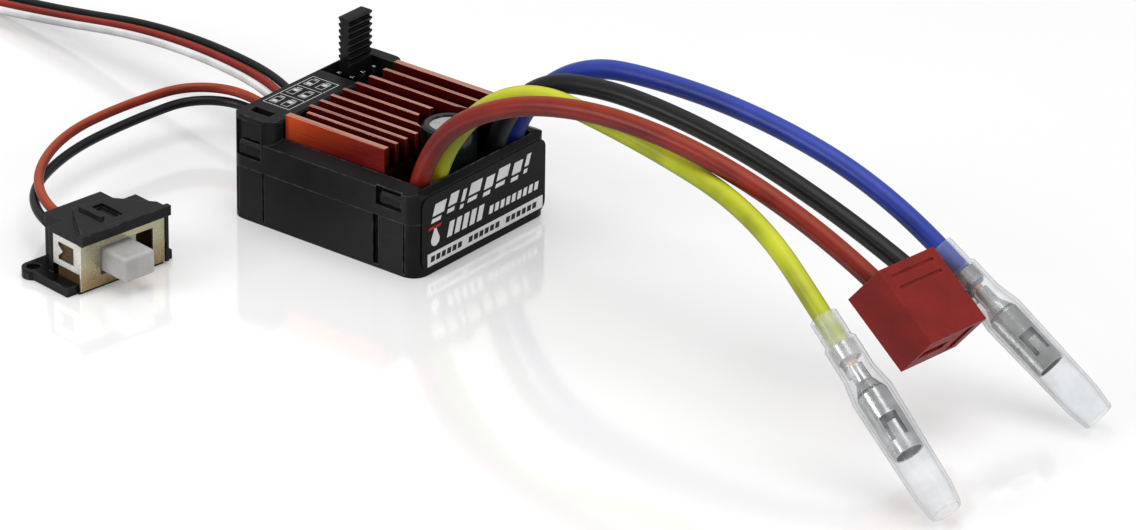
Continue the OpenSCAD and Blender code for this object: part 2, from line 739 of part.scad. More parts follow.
module receiver_plug_contacts() {
    color([0.85, 0.7, 0.35]) at_receiver_plug() for (k = [-1 : 1]) translate([0, k * receiver_pitch, 0])
        difference() {
            box([-receiver_plug_size.x + 0.5, -0.8, -0.8], [-3.2, 0.8, 0.78]);
            box([-receiver_plug_size.x - 1, -0.5, -0.5], [-5.5, 0.5, 0.5]);
        }
}

// ------------------------------------------------------------------ switch

switch_pos = [-16.6, -50.9, 0];
switch_turn = -8.5;
sw_w = 16.1;                // width of the switch along its own Y
sw_top = 8.1;
knob_y = [4.1, 9.9];
knob_z = [2.5, 6.4];
knob_out = 5.3;
body_back = -5.8;
slide_gap = 0.15;
channel_back = -3.4;
ear_x = -10;
ear_y = [-0.9, 17];
back_y = [2.7, 13.4];
back_x = -11.6;

module at_switch() { translate(switch_pos) rotate([0, 0, switch_turn]) children(); }

module ear(y) {
    translate([ear_x, y, 0]) cylinder(r = 1.8, h = 1.5);
}

module switch_holder() {
    color([0.1, 0.1, 0.1]) at_switch() difference() {
        union() {
            // floor, side flanges and ears
            box([back_x, 0, 0], [-0.4, sw_w, 0.45]);
            for (s = [0, 1]) {
                y0 = s == 0 ? -2 : sw_w - 0.1;
                box([-8.6, y0, 0], [-0.8, y0 + 2.1, 1.5]);
                box([ear_x - 1.8, min(ear_y[s], sw_w / 2), 0], [ear_x + 1.8, max(ear_y[s], sw_w / 2), 1.5]);
            }
            for (y = ear_y) ear(y);
            // wall behind the switch and the narrower box over its terminals
            box([-7.4, 0, 0.4], [-6.5, sw_w, 8.2]);
            box([back_x, back_y[0], 0.4], [-6.5, back_y[1], 8.2]);
            box([-7.4, sw_w + 0.05, 0.4], [0.2, sw_w + 0.6, 8.7]);
            // lid in two steps, and the lip over the front plate
            box([-7.4, -0.2, 8.15], [0.3, sw_w + 0.6, 8.7]);
            box([back_x, back_y[0], 8.15], [-6.5, back_y[1], 8.7]);
            translate([0, 0, 8.6]) linear_extrude(1.1)
                polygon([[0.3, 0], [0.3, sw_w], [-1.7, sw_w], [-7.6, 11.6], [-8.2, 5.2]]);
            box([-0.2, -0.3, 8.15], [0.75, sw_w + 0.65, 9.75]);
            box([-7.5, 5.8, 9.6], [-2.3, 6.5, 10.1]);
        }
        for (y = ear_y) translate([ear_x, y, -1]) cylinder(d = ear_hole_d, h = 4);
        box([-10.7, back_y[0] + 0.9, 1.5], [-6.4, back_y[1] - 0.9, 8.2]);
        // wire entry in the rear wall, recess in the lid
        box([back_x - 1, 3.0, 5.2], [-9.5, 6.8, 8.2]);
        box([-6.8, 7.6, 9.1], [-1.7, 9.7, 11]);
    }
}

module switch_frame() {
    // Folded metal frame: front plate with the knob's window, two side leaves.
    t = 0.35;
    color([0.8, 0.78, 0.72]) at_switch() difference() {
        union() {
            box([-t, 0, 0.5], [0, sw_w, sw_top]);
            box([-6.4, 0, 3.2], [0, t, sw_top]);
            box([-6.4, sw_w - t, 3.2], [0, sw_w, sw_top]);
        }
        box([-1, knob_y[0] - 0.3, knob_z[0] - 0.3], [1, knob_y[1] + switch_travel + 0.3, knob_z[1] + 0.3]);
        // latch holes in the leaves, with a pointed tongue left at the back
        for (y = [0, sw_w]) translate([0, y - 1, 0]) difference() {
            box([-5.2, 0, 4.2], [-1.7, 2, 7]);
            translate([0, -1, 0]) rotate([-90, 0, 0]) linear_extrude(4)
                polygon([[-5.3, -4.6], [-4.2, -5.6], [-5.3, -6.6]]);
        }
    }
}

terminal_y = [4.6, 8.1, 11.6];

module switch_body() {
    color([0.35, 0.22, 0.12]) at_switch() difference() {
        box([body_back, 0.4, 0.6], [-0.4, sw_w - 0.4, sw_top - 0.15]);
        box([channel_back, 2.9, 1.8], [0, 14.8, 7.1]);
        for (y = terminal_y) box([-9, y - 0.52, 4.2], [-3, y + 0.52, 4.76]);
    }
}

module switch_slider() {
    color([0.75, 0.75, 0.77]) at_switch() difference() {
        union() {
            box([channel_back + slide_gap, knob_y[0] - 1, 1.8 + slide_gap],
                [-0.55, knob_y[1] + 1.1, 7.1 - slide_gap]);
            box([-0.7, knob_y[0], knob_z[0]], [knob_out, knob_y[1], knob_z[1]]);
        }
        box([channel_back, knob_y[0] - 0.6, 3.4], [channel_back + 0.4, knob_y[1] + 0.7, 5.6]);
    }
}

module switch_contact() {
    // Bridge that joins two terminals when the knob is pushed across.
    color([0.85, 0.7, 0.35]) at_switch()
        box([channel_back + 0.1, knob_y[0] - 0.4, 3.6], [channel_back + 0.38, knob_y[1] + 0.5, 5.4]);
}

module switch_terminals() {
    color(tin) at_switch() for (y = terminal_y)
        box([-8.4, y - 0.5, 4.22], [channel_back - 0.02, y + 0.5, 4.74]);
}

case_base();
case_top();
front_label();
settings_label();
heatsink();
thermal_pad();
main_board();
mosfets();
microcontroller();
bec_regulators();
ceramic_capacitors();
chip_resistors();
status_led();
capacitor_can();
capacitor_sleeve();
capacitor_bung();
capacitor_leads();
header_base();
header_pins();
jumper_cap();
jumper_clip();
solder_joints();
red_wire();
red_wire_core();
black_wire();
black_wire_core();
yellow_wire();
yellow_wire_core();
blue_wire();
blue_wire_core();
battery_plug();
battery_plug_contacts();
yellow_receptacle();
yellow_sleeve();
blue_receptacle();
blue_sleeve();
switch_holder();
switch_frame();
switch_body();
switch_slider();
switch_contact();
switch_terminals();
switch_wire_red();
switch_wire_black();
switch_wire_cores();
receiver_wire_black();
receiver_wire_red();
receiver_wire_white();
receiver_wire_cores();
receiver_plug();
receiver_plug_contacts();
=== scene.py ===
"""Looks of a cased motor speed controller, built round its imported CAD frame.

Lengths are metres, except where a name ends in _mm. Nodes of the frame keep
their shape and get finishes and softened edges. The wires are swept again as
smooth tubes, the switch slider is drawn again with a rounded knob, and the
printed marks on the two labels are added as thin raised ink.
"""

import json
import math

import bmesh
import bpy
from mathutils import Matrix, Quaternion, Vector
from mathutils.bvhtree import BVHTree


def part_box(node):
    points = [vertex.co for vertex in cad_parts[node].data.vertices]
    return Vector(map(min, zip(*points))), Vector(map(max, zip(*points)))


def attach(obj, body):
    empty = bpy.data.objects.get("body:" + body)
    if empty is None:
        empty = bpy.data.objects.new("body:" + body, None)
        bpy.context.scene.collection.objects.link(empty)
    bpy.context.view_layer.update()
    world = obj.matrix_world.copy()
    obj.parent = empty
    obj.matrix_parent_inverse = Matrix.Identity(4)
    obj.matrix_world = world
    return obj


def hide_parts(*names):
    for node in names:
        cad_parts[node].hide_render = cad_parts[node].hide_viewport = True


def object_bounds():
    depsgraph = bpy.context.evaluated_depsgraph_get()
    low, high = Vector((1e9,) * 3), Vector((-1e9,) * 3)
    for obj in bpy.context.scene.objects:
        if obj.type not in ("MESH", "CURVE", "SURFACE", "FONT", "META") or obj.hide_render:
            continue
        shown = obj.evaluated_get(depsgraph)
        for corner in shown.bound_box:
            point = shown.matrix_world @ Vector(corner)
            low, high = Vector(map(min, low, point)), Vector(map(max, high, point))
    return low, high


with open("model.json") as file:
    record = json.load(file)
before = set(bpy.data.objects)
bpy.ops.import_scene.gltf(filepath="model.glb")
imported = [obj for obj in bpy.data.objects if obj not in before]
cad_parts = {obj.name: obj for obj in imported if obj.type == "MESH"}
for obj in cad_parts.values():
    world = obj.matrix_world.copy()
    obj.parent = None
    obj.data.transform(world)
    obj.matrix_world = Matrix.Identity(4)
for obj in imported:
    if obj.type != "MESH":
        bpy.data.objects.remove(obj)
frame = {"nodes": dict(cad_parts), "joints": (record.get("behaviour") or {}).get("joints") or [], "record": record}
cad_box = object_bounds()
nodes = frame["nodes"]

MM = 0.001
ROOT = "controller"

CASE_ROUNDING_MM = 0.2
TAB_RISE = 4.2 * MM             # height of the snap tabs above the lower case's parting line
INK_MM = 0.03                   # how far the printed marks stand up
EDGE_ANGLE = math.radians(35)   # faces that meet more steeply have an edge between them
FLAT_ANGLE = math.radians(1)    # faces that meet less steeply are one flat face
WELD = 0.002 * MM               # joins corners that the frame's mesh splits per face

POWER_WIRES = ("red_wire", "black_wire", "yellow_wire", "blue_wire")

# Each group of wires with its outside and bore diameters in millimetres.
WIRE_GROUPS = (
    (POWER_WIRES, 3.0, 1.6),
    (("switch_wire_red", "switch_wire_black"), 1.5, 0.7),
    (("receiver_wire_black", "receiver_wire_red", "receiver_wire_white"), 1.3, 0.7),
)


# ------------------------------------------------------------- node materials

class Look:
    """A node material, with short ways to add the nodes that finishes share.

    A value fed to a node is either a constant or another node's output.
    """

    def __init__(self, name):
        self.material = bpy.data.materials.new(name)
        self.material.use_nodes = True
        self.tree = self.material.node_tree
        self.shader = self.tree.nodes["Principled BSDF"]
        self.place = self.node("ShaderNodeTexCoord").outputs["Object"]
        self.surface = self.node("ShaderNodeNewGeometry")

    def feed(self, socket, value):
        if isinstance(value, bpy.types.NodeSocket):
            self.tree.links.new(value, socket)
        else:
            socket.default_value = value

    def node(self, kind, inputs=None, **settings):
        made = self.tree.nodes.new(kind)
        for key, value in settings.items():
            setattr(made, key, value)
        for key, value in (inputs or {}).items():
            self.feed(made.inputs[key], value)
        return made

    def set(self, **inputs):
        """Feeds the main shader. Underscores stand for the spaces in socket names."""
        for key, value in inputs.items():
            self.feed(self.shader.inputs[key.replace("_", " ")], value)

    def noise(self, size_mm, detail=3.0, stretch=(1, 1, 1)):
        """Noise with features of a given size, from 0 to 1 but mostly near the middle."""
        moved = self.node("ShaderNodeMapping", {"Vector": self.place, "Scale": stretch})
        inputs = {"Vector": moved.outputs[0], "Scale": 1 / (size_mm * MM), "Detail": detail}
        return self.node("ShaderNodeTexNoise", inputs).outputs["Fac"]

    def span(self, value, low, high, to_low=0.0, to_high=1.0):
        """Maps low..high to to_low..to_high, and holds the ends."""
        inputs = {"Value": value, "From Min": low, "From Max": high}
        inputs.update({"To Min": to_low, "To Max": to_high})
        return self.node("ShaderNodeMapRange", inputs).outputs[0]

    def calc(self, operation, a, b):
        return self.node("ShaderNodeMath", {0: a, 1: b}, operation=operation).outputs[0]

    def mix(self, share, first, second):
        """Colour between first and second. The node's colour sockets are 6, 7 and output 2."""
        inputs = {0: share, 6: first, 7: second}
        return self.node("ShaderNodeMix", inputs, data_type="RGBA").outputs[2]

    def axis(self, vector, name):
        return self.node("ShaderNodeSeparateXYZ", {0: vector}).outputs[name]

    def round_normal(self, radius_mm):
        return self.node("ShaderNodeBevel", {"Radius": radius_mm * MM}, samples=4).outputs[0]

    def edge(self, radius_mm):
        """1 along sharp edges, 0 on open faces."""
        inputs = {0: self.round_normal(radius_mm), 1: self.surface.outputs["Normal"]}
        alike = self.node("ShaderNodeVectorMath", inputs, operation="DOT_PRODUCT")
        flat, sharp = 0.97, 0.75
        return self.span(alike.outputs["Value"], flat, sharp)

    def paint_crevice_shade(self, reach_mm, deepest, shut, clear):
        """Paints shade: darkens the colour from clear to shut, by how open the surface is within reach."""
        shade = self.node("ShaderNodeAmbientOcclusion", {"Distance": reach_mm * MM},
                          samples=4, only_local=True)
        openness = self.span(shade.outputs["AO"], shut, clear, deepest, 1.0)
        tone = self.shader.inputs["Base Color"].links[0].from_socket
        self.set(Base_Color=self.mix(openness, (0.0, 0.0, 0.0, 1.0), tone))

    def bump(self, height, depth_mm, normal=None):
        inputs = {"Height": height, "Distance": depth_mm * MM, "Strength": 0.6}
        if normal is not None:
            inputs["Normal"] = normal
        return self.node("ShaderNodeBump", inputs).outputs[0]


def rgba(color, gain=1.0):
    """A colour with its brightness multiplied, held at white, and full alpha."""
    return tuple(min(1.0, c * gain) for c in color) + (1.0,)


def finish(name, color, rough, metal=0.0, grain=0.25, depth=0.012, spread=0.18,
           wear=0.3, worn_color=None, rounding=0.12, coat=0.0, shine=0.3, blotch=4.0):
    """A solid finish: uneven colour, uneven gloss, fine grain, and paler edges that are partly abrasion and partly
    painted highlight.

    Grain, blotch and rounding are sizes in millimetres, and depth is how deep
    the grain looks. Spread and wear are shares, from 0 to 1.
    """
    look = Look(name)
    patches = look.noise(blotch)
    fine = look.noise(grain, detail=2)
    tone = look.mix(look.span(patches, 0.3, 0.7), rgba(color, 1 - spread), rgba(color, 1 + spread))
    # Paler edges in patches: partly abrasion, partly painted edge highlight.
    edge_patches = look.span(look.noise(1.3), 0.35, 0.65)
    rubbed_and_lit = look.calc("MULTIPLY", look.edge(rounding * 1.5), edge_patches)
    rubbed_and_lit = look.calc("MULTIPLY", rubbed_and_lit, wear)
    worn = rgba(worn_color) if worn_color else rgba(color, 2.5)
    tone = look.mix(rubbed_and_lit, tone, worn)
    fine_gloss = look.span(fine, 0.3, 0.7, -0.06, 0.06)
    broad_gloss = look.span(patches, 0.3, 0.7, -0.05, 0.05)
    gloss = look.calc("ADD", fine_gloss, broad_gloss)
    look.set(Base_Color=tone, Metallic=metal, Roughness=look.calc("ADD", gloss, rough))
    look.set(Normal=look.bump(fine, depth, look.round_normal(rounding)))
    look.set(Coat_Weight=coat, Coat_Roughness=0.2, Specular_IOR_Level=shine)
    return look


def case_plastic(name, color):
    """Black spark-eroded plastic with paler edges, partly abraded and partly painted highlight. Returns the Look.
    """
    look = finish(name, color, rough=0.36, grain=0.22, depth=0.03, wear=0.9,
                  worn_color=(0.17, 0.17, 0.175), rounding=CASE_ROUNDING_MM, shine=0.2)
    # Painted shade in the grooves and crevices of the case.
    look.paint_crevice_shade(0.5, deepest=0.25, shut=0.35, clear=0.85)
    return look


def tabbed_plastic(name, color):
    """Case plastic, coarsely grained on the snap tabs. Returns the Look.

    The tabs are the only part of the lower case above its parting line.
    """
    look = case_plastic(name, color)
    part_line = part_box("case_base")[1].z - TAB_RISE
    on_tab = look.span(look.axis(look.place, "Z"), part_line, part_line + 0.2 * MM)
    coarse = look.calc("MULTIPLY", look.noise(0.7), on_tab)
    look.set(Normal=look.bump(coarse, 0.25, look.round_normal(CASE_ROUNDING_MM)))
    return look


def anodised_sink(name):
    """Red anodised fins. Cut tips are paler, partly bare metal and partly painted highlight, and painted shade
    darkens the gaps between fins.
    """
    crimson = (0.18, 0.007, 0.005)
    orange = (0.8, 0.12, 0.025)
    tip_color = (0.85, 0.5, 0.38)
    low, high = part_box("heatsink")
    flange = 0.8 * MM           # how far the flange stands proud of the outer fins
    near_fin = low.y + flange
    # Its paler edges are partly abrasion and partly painted highlight.
    look = finish(name, crimson, rough=0.28, metal=0.6, grain=0.6, depth=0.002, spread=0.1,
                  wear=0.9, worn_color=(0.9, 0.55, 0.42), rounding=0.08, blotch=6, shine=0.5)
    height = look.axis(look.place, "Z")
    across = look.axis(look.place, "Y")
    along = look.axis(look.place, "X")
    normal_up = look.axis(look.surface.outputs["Normal"], "Z")
    tone = look.shader.inputs["Base Color"].links[0].from_socket
    # Brushed lines run along the fins.
    lines = look.noise(1.0, detail=4, stretch=(0.05, 2.5, 2.5))
    # The outer face of the near fin goes from orange to crimson, along and downwards.
    face = look.span(across, near_fin + 0.3 * MM, near_fin + 0.1 * MM)
    fade = look.span(along, low.x, high.x)
    fade = look.calc("ADD", fade, look.span(height, high.z, high.z - 5 * MM, 0.0, 0.6))
    tone = look.mix(face, tone, look.mix(fade, rgba(orange), rgba(crimson, 1.2)))
    # Paler fin tops: partly bare cut metal, partly painted highlight.
    on_tip = look.calc("MULTIPLY", look.span(height, high.z - 0.25 * MM, high.z - 0.05 * MM),
                       look.span(normal_up, 0.5, 0.9))
    on_tip = look.calc("MULTIPLY", on_tip, look.span(lines, 0.3, 0.7, 0.35, 1))
    tone = look.mix(on_tip, tone, rgba(tip_color))
    # Painted shade: the fins go nearly black down in the gaps, except on the near fin's outer face.
    out_of_gap = look.span(height, high.z - 3.6 * MM, high.z - 0.6 * MM, 0.08, 1)
    open_to_light = look.calc("MAXIMUM", out_of_gap, face)
    tone = look.mix(open_to_light, rgba(crimson, 0.05), tone)
    look.set(Base_Color=tone, Roughness=look.span(lines, 0.2, 0.8, 0.22, 0.4))
    return look.material


def bright_tin(name):
    """Tin plate with paler edges, partly abraded and partly painted highlight, and painted shade nearly black in
    its creases.
    """
    look = finish(name, (0.5, 0.5, 0.49), rough=0.22, metal=1.0, grain=0.5, depth=0.002,
                  spread=0.12, wear=0.7, worn_color=(0.92, 0.92, 0.9), rounding=0.08, blotch=3)
    # Painted shade in the creases of the tin.
    look.paint_crevice_shade(1.2, deepest=0.08, shut=0.65, clear=0.93)
    return look.material


def wire_skin(name, color, lit):
    """Satin silicone, darker in long patches, with a painted highlight on top and painted shade underneath and
    along its sides.
    """
    look = Look(name)
    patches = look.noise(9.0, detail=2)
    fine = look.noise(0.12, detail=2)
    ripple = look.noise(2.2, detail=1)
    tone = look.mix(look.span(patches, 0.35, 0.65), rgba(color, 0.65), rgba(color, 1.12))
    upward = look.axis(look.surface.outputs["Normal"], "Z")
    # Painted highlight on the top, painted shade underneath.
    tone = look.mix(look.span(upward, 0.55, 0.95, 0, 0.6), tone, rgba(lit))
    tone = look.mix(look.span(upward, 0.1, -0.6, 0, 0.6), tone, rgba(color, 0.4))
    # Painted shade along the sides, where the wire is seen edge-on.
    facing = look.node("ShaderNodeLayerWeight", {"Blend": 0.35}).outputs["Facing"]
    tone = look.mix(look.span(facing, 0.5, 1.0, 0, 0.5), tone, rgba(color, 0.45))
    look.set(Base_Color=tone, Roughness=look.span(fine, 0.3, 0.7, 0.3, 0.42))
    height = look.calc("ADD", fine, look.calc("MULTIPLY", ripple, 2.0))
    look.set(Normal=look.bump(height, 0.02), Specular_IOR_Level=0.3)
    look.set(Coat_Weight=0.08, Coat_Roughness=0.25)
    return look.material


def clear_vinyl(name):
    """Soft clear sleeve: sight lines pass through it, its rims and folds go milky, and painted grey shade falls
    where it is seen edge-on.
    """
    look = Look(name)
    cloud = look.noise(5.0, detail=2)
    fine = look.noise(1.6, detail=1, stretch=(0.4, 1, 1))
    facing = look.node("ShaderNodeLayerWeight", {"Blend": 0.45}).outputs["Facing"]
    edge_on = look.span(facing, 0.3, 0.95)
    haze = look.span(edge_on, 0, 1, 0.07, 0.6)
    body = look.calc("ADD", haze, look.span(cloud, 0.45, 0.7, 0.0, 0.2))
    # Painted shade: grey where the sleeve is seen edge-on.
    look.set(Base_Color=look.mix(edge_on, (0.95, 0.96, 0.97, 1), (0.42, 0.45, 0.48, 1)))
    look.set(Roughness=look.span(fine, 0.3, 0.7, 0.06, 0.16))
    look.set(Normal=look.bump(look.calc("ADD", cloud, fine), 0.05))
    look.set(Specular_IOR_Level=0.6, Coat_Weight=0.6, Coat_Roughness=0.1)
    glass = look.node("ShaderNodeBsdfTransparent", {"Color": (0.97, 0.975, 0.98, 1)})
    layers = {0: body, 1: glass.outputs[0], 2: look.shader.outputs[0]}
    blend = look.node("ShaderNodeMixShader", layers)
    look.feed(look.tree.nodes["Material Output"].inputs["Surface"], blend.outputs[0])
    return look.material


def milky_knob(name):
    """Translucent natural nylon."""
    glow = 3 * MM
    # Its paler edges are partly abrasion and partly painted highlight.
    look = finish(name, (0.47, 0.465, 0.46), rough=0.25, grain=0.3, depth=0.004, spread=0.08,
                  wear=0.8, worn_color=(0.86, 0.86, 0.85), rounding=0.4)
    look.set(Subsurface_Weight=0.6, Subsurface_Radius=(glow, glow, glow), Subsurface_Scale=0.5)
    return look.material


def plated_frame(name):
    """Zinc plate whose front has a yellow-green bloom that turns amber downwards."""
    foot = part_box("switch_frame")[0].z
    look = finish(name, (0.75, 0.74, 0.7), rough=0.3, metal=0.9, grain=0.25, depth=0.006,
                  spread=0.1, wear=0.4, worn_color=(0.95, 0.95, 0.93), rounding=0.06, blotch=2)
    tone = look.shader.inputs["Base Color"].links[0].from_socket
    patches = look.span(look.noise(2.0), 0.35, 0.65)
    bloom = look.mix(patches, (0.55, 0.5, 0.3, 1), (0.4, 0.42, 0.25, 1))
    height = look.axis(look.place, "Z")
    amber = look.span(height, foot + 5 * MM, foot + 1 * MM, 0, 0.95)
    bloom = look.mix(amber, bloom, (0.34, 0.19, 0.04, 1))
    forward = look.axis(look.surface.outputs["Normal"], "X")
    look.set(Base_Color=look.mix(look.span(forward, 0.6, 0.9, 0, 0.8), tone, bloom))
    return look.material


def stranded(name):
    """Copper, finely grained like strands laid side by side."""
    return plain(name, (0.72, 0.36, 0.18), 0.3, 1.0, grain=0.15, depth=0.02, blotch=1)


def plain(name, color, rough, metal=0.0, **more):
    return finish(name, color, rough, metal, **more).material


BLACK = (0.012, 0.012, 0.013)
DEEP_BLACK = (0.01, 0.01, 0.011)
GOLD = (0.83, 0.6, 0.24)
BLACK_WIRE = (0.009, 0.009, 0.01)
LIT_BLACK = (0.03, 0.03, 0.032)

# What makes the material of each node that is shown as it is, from the material's name.
# Pale edge colours given here are partly abrasion and partly painted highlight.
FINISHES = {
    "case_base": lambda n: tabbed_plastic(n, DEEP_BLACK).material,
    "case_top": lambda n: case_plastic(n, BLACK).material,
    "front_label": lambda n: plain(n, (0.006, 0.006, 0.007), 0.3, wear=0.2, shine=0.2),
    "settings_label": lambda n: plain(n, BLACK, 0.45, wear=0.2, shine=0.15),
    "heatsink": anodised_sink,
    "thermal_pad": lambda n: plain(n, (0.5, 0.5, 0.56), 0.7),
    "main_board": lambda n: plain(n, (0.015, 0.12, 0.05), 0.3, coat=0.5),
    "mosfets": lambda n: plain(n, BLACK, 0.5),
    "microcontroller": lambda n: plain(n, BLACK, 0.45),
    "bec_regulators": lambda n: plain(n, BLACK, 0.5),
    "ceramic_capacitors": lambda n: plain(n, (0.45, 0.3, 0.16), 0.4),
    "chip_resistors": lambda n: plain(n, (0.02, 0.02, 0.03), 0.35),
    "status_led": lambda n: plain(n, (0.8, 0.1, 0.06), 0.15, coat=0.6),
    "capacitor_can": lambda n: plain(n, (0.82, 0.82, 0.84), 0.2, 1.0,
                                     worn_color=(0.95, 0.95, 0.96)),
    "capacitor_sleeve": lambda n: plain(n, (0.012, 0.02, 0.017), 0.25, coat=0.5),
    "capacitor_bung": lambda n: plain(n, BLACK, 0.7),
    "capacitor_leads": bright_tin,
    "header_base": lambda n: plain(n, BLACK, 0.4),
    "header_pins": bright_tin,
    "jumper_cap": lambda n: plain(n, DEEP_BLACK, 0.34, wear=0.7,
                                  worn_color=(0.14, 0.14, 0.14), shine=0.25),
    "jumper_clip": bright_tin,
    "solder_joints": bright_tin,
    "red_wire_core": stranded,
    "black_wire_core": stranded,
    "yellow_wire_core": stranded,
    "blue_wire_core": stranded,
    "battery_plug": lambda n: plain(n, (0.25, 0.017, 0.013), 0.45, grain=0.35, depth=0.03,
                                    spread=0.15, wear=0.6, worn_color=(0.5, 0.09, 0.07),
                                    rounding=0.25),
    "battery_plug_contacts": lambda n: plain(n, GOLD, 0.25, 1.0),
    "yellow_receptacle": bright_tin,
    "yellow_sleeve": clear_vinyl,
    "blue_receptacle": bright_tin,
    "blue_sleeve": clear_vinyl,
    "switch_holder": lambda n: plain(n, (0.008, 0.008, 0.009), 0.25, wear=0.6,
                                     worn_color=(0.16, 0.16, 0.17), rounding=0.25),
    "switch_frame": plated_frame,
    "switch_body": lambda n: plain(n, (0.09, 0.055, 0.025), 0.5),
    "switch_contact": lambda n: plain(n, GOLD, 0.25, 1.0),
    "switch_terminals": bright_tin,
    "switch_wire_cores": stranded,
    "receiver_wire_cores": stranded,
    "receiver_plug": lambda n: plain(n, BLACK, 0.4),
    "receiver_plug_contacts": lambda n: plain(n, GOLD, 0.25, 1.0),
}

# The colour of each wire's skin, and of its top where the light falls on it.
WIRE_COLORS = {
    "red_wire": ((0.25, 0.02, 0.012), (0.36, 0.06, 0.02)),
    "black_wire": (BLACK_WIRE, LIT_BLACK),
    "yellow_wire": ((0.46, 0.5, 0.02), (0.66, 0.68, 0.06)),
    "blue_wire": ((0.03, 0.055, 0.34), (0.06, 0.1, 0.46)),
    "switch_wire_red": ((0.27, 0.03, 0.014), (0.5, 0.1, 0.03)),
    "switch_wire_black": (BLACK_WIRE, LIT_BLACK),
    "receiver_wire_black": (BLACK_WIRE, LIT_BLACK),
    "receiver_wire_red": ((0.26, 0.02, 0.014), (0.4, 0.06, 0.03)),
    "receiver_wire_white": ((0.7, 0.7, 0.7), (0.9, 0.9, 0.9)),
}

# Width in millimetres of the softened edges of each blocky node.
SOFT_EDGES = {
    "case_base": 0.22, "case_top": 0.18, "heatsink": 0.07, "capacitor_can": 0.15,
    "jumper_cap": 0.08, "header_base": 0.1, "header_pins": 0.08, "battery_plug": 0.3,
    "battery_plug_contacts": 0.08, "switch_holder": 0.14, "switch_frame": 0.05, "switch_body": 0.1,
    "receiver_plug": 0.15, "main_board": 0.1, "mosfets": 0.1, "microcontroller": 0.1,
    "bec_regulators": 0.1, "front_label": 0.03,
}


# ------------------------------------------------------------------ geometry

def paint(piece, material):
    piece.data.materials.clear()
    piece.data.materials.append(material)


def soften(piece, width_mm):
    """Welds the frame's triangles into flat faces and rounds the edges between them."""
    weld = piece.modifiers.new("weld", "WELD")
    weld.merge_threshold = WELD
    flat = piece.modifiers.new("flat_faces", "DECIMATE")
    flat.decimate_type = "DISSOLVE"
    flat.angle_limit = FLAT_ANGLE
    bevel = piece.modifiers.new("soft_edges", "BEVEL")
    bevel.width = width_mm * MM
    bevel.segments = 2
    bevel.limit_method = "ANGLE"
    bevel.angle_limit = EDGE_ANGLE
    piece.modifiers.new("even_shading", "WEIGHTED_NORMAL").keep_sharp = True


def new_piece(name, mesh, material, body=ROOT):
    """Shows a mesh as a new piece that rides on a body of the frame."""
    piece = bpy.data.objects.new(name, mesh)
    bpy.context.scene.collection.objects.link(piece)
    paint(piece, material)
    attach(piece, body)
    return piece


def new_mesh(name, verts, faces):
    mesh = bpy.data.meshes.new(name)
    mesh.from_pydata([tuple(v) for v in verts], [], faces)
    mesh.update()
    return mesh


def stand_for(node):
    """Hides a node that a new piece stands in for."""
    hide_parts(node)


def round_knob(material):
    """Redraws the slider with its knob's outer edges rounded and its inner steps sharp."""
    node = "switch_slider"
    radius = 0.55 * MM
    slide = next(j for j in frame["joints"] if j["name"] == "switch_slide")
    forward = Vector(slide["axis"]).cross(Vector((0, 0, 1)))
    shape = bmesh.new()
    shape.from_mesh(nodes[node].data)
    bmesh.ops.remove_doubles(shape, verts=shape.verts, dist=WELD)
    bmesh.ops.dissolve_limit(shape, angle_limit=FLAT_ANGLE, verts=shape.verts, edges=shape.edges)
    near_tip = max(v.co.dot(forward) for v in shape.verts) - 0.05 * MM
    outer = [e for e in shape.edges if any(v.co.dot(forward) > near_tip for v in e.verts)]
    bmesh.ops.bevel(shape, geom=outer, offset=radius, segments=3, profile=0.5, affect="EDGES")
    mesh = bpy.data.meshes.new("switch_knob_rounded")
    shape.to_mesh(mesh)
    shape.free()
    mesh.shade_smooth()
    mesh.set_sharp_from_angle(angle=EDGE_ANGLE)
    piece = new_piece("switch_knob_rounded", mesh, material, slide["child"])
    piece.modifiers.new("even_shading", "WEIGHTED_NORMAL").keep_sharp = True
    stand_for(node)


def paint_latch_shade(node):
    """Paints shade on the sunken faces of the latch outline stamped in a receptacle's barrel.

    They are the only outward faces inside the barrel's wall, which is 0.35 mm thick.
    """
    mount = next(m for m in frame["record"]["mounts"] if m["name"] == node)
    on_axis, axis = Vector(mount["pos_m"]), Vector(mount["axis"])
    bore_r = mount["dims"]["r_mm"] * MM
    barrel_l = mount["dims"]["length_mm"] * MM
    nearest, furthest = bore_r + 0.08 * MM, bore_r + 0.25 * MM
    mesh = nodes[node].data
    # The dark latch material is painted shade in the groove.
    mesh.materials.append(plain(node + "_latch", (0.05, 0.05, 0.05), 0.4, 1.0, wear=0.1))
    for face in mesh.polygons:
        out = face.center - on_axis
        along = out.dot(axis)
        out -= along * axis
        in_barrel = abs(along) < 0.9 * barrel_l
        in_wall = nearest < out.length < furthest
        faces_out = face.normal.dot(out.normalized()) > 0.8
        if in_barrel and in_wall and faces_out:
            face.material_index = 1


def bore_tree(node):
    mesh = nodes[node].data
    return BVHTree.FromPolygons([v.co for v in mesh.vertices], [p.vertices for p in mesh.polygons])


def bore_centre(tree, guess, heading, reach):
    """Centre of the bore in the plane through guess across heading, or None outside it."""
    spokes = 16
    rounds = 3
    side = heading.orthogonal().normalized()
    centre = guess
    for _ in range(rounds):
        total = Vector()
        for k in range(spokes):
            ray = Quaternion(heading, math.tau * k / spokes) @ side
            hit = tree.ray_cast(centre, ray, reach)[0]
            if hit is None:
                return None
            total += hit
        centre = total / spokes
    return centre


def follow_bore(node, start, heading, bore_r):
    """Centre line of a hollow wire, found by walking along the inside of its bore."""
    step = 0.9 * MM
    longest = 400
    reach = 2.5 * bore_r
    tree = bore_tree(node)
    centre = start
    line = []
    for _ in range(longest):
        found = bore_centre(tree, centre + heading * step, heading, reach)
        if found is None:
            break
        heading = (found - centre).normalized() if line else heading
        centre = found
        line.append(centre)
    return line


